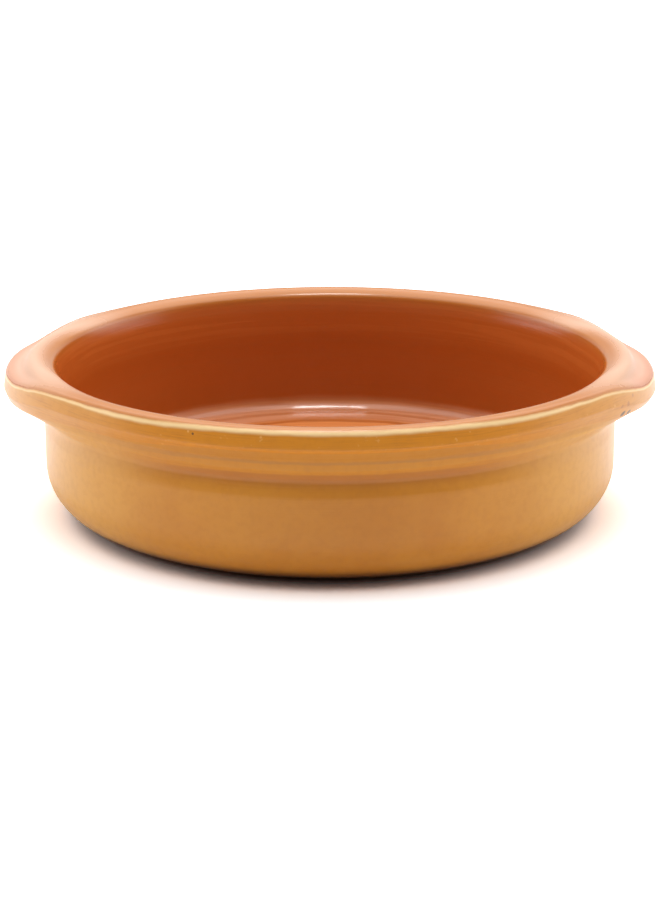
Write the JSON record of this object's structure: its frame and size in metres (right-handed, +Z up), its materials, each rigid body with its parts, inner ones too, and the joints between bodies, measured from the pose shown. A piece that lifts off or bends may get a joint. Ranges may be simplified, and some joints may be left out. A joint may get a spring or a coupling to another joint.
{
  "type": "terracotta casserole dish",
  "caption": "Shallow round terracotta casserole dish with a thick collar at the rim, two side lugs, clear-glazed red inside and honey glaze outside.",
  "frame": {"origin": "centre of the flat underside, on the surface that the dish stands on", "axes": "+Z up along the dish's axis, +X out through one lug, +Y towards the back of the pictured view"},
  "size_m": [0.2274, 0.2108, 0.0557],
  "materials": {
    "glazed_clay": "honey glaze outside, clear glaze over red clay inside, bare clay underneath"
  },
  "bodies": {
    "root": {"casserole_dish": "glazed_clay"}
  },
  "joints": []
}
